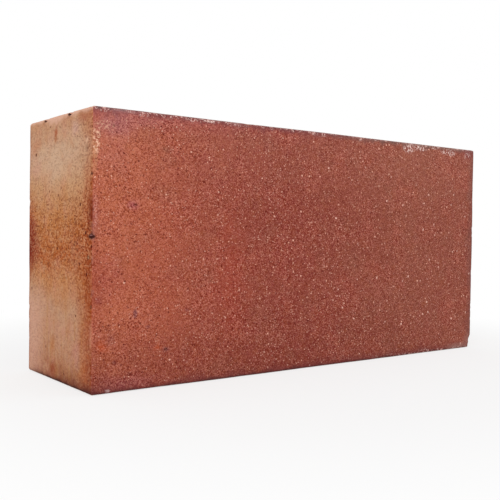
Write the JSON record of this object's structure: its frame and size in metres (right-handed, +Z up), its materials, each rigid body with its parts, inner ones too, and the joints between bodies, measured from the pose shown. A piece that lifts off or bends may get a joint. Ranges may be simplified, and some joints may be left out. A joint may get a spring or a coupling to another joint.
{
  "type": "fire brick",
  "caption": "Solid rectangular brick of dense red-brown fired clay with slightly worn arrises, standing on a long narrow face.",
  "frame": {"origin": "centre of the long narrow face that the brick stands on", "axes": "+X along the length, +Y through the thickness from the front bed face to the back one, +Z up"},
  "size_m": [0.23, 0.065, 0.11],
  "materials": {
    "fired_clay": "matte"
  },
  "bodies": {
    "root": {"fire_brick": "fired_clay"}
  },
  "joints": []
}
